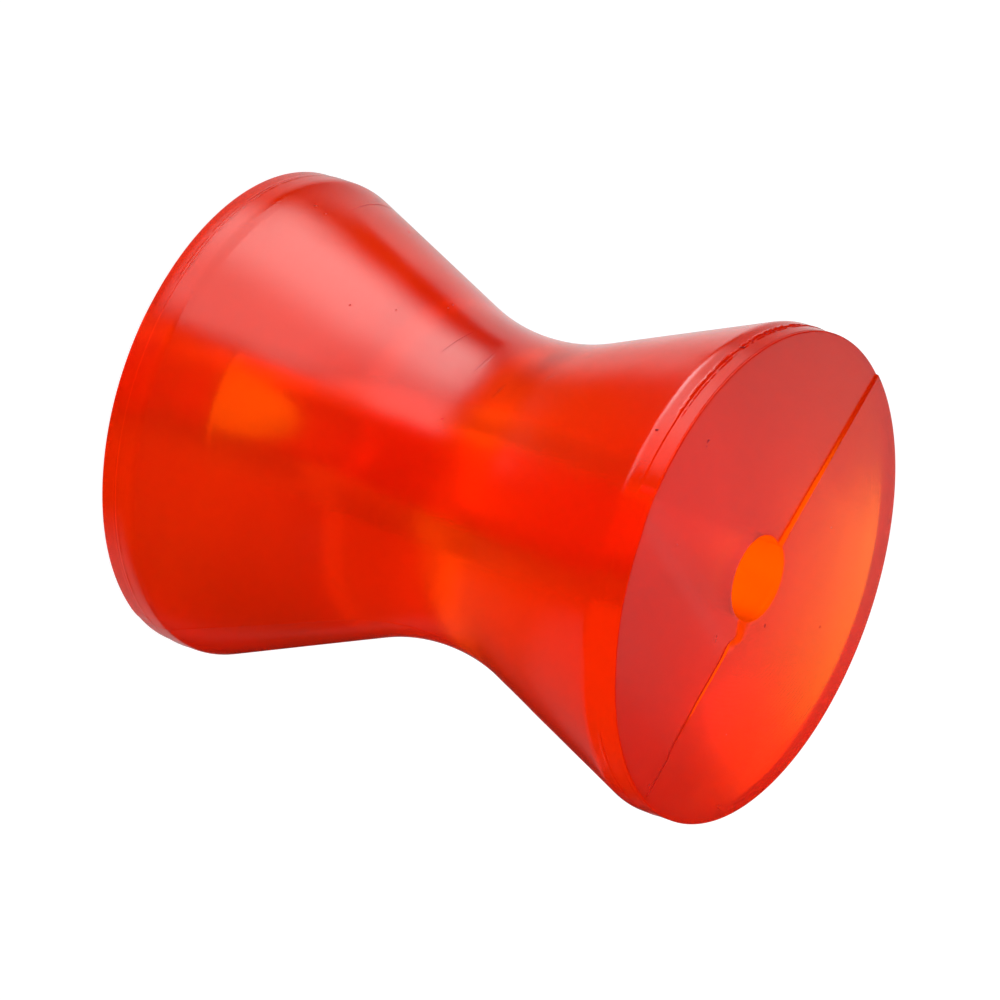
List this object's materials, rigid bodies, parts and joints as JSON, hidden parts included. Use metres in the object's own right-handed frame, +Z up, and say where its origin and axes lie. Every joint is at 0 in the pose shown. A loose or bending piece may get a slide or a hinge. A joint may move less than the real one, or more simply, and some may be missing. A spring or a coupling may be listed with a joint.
{
  "type": "boat trailer roller",
  "caption": "Spool-shaped bow roller of clear red-orange polyurethane, with a hollow waist to centre the bow and a plain through bore for its axle.",
  "frame": {"origin": "centre of the bore on the bottom end face", "axes": "+Z up the bore. The side mould's parting plane is Y = 0, and the trimmed, lower half of the top end is on -Y"},
  "size_m": [0.0828, 0.0828, 0.1016],
  "materials": {
    "polyurethane": "clear red-orange cast polyurethane: glossy moulded sides, a duller trimmed end"
  },
  "bodies": {
    "root": {"roller": "polyurethane"}
  },
  "joints": []
}
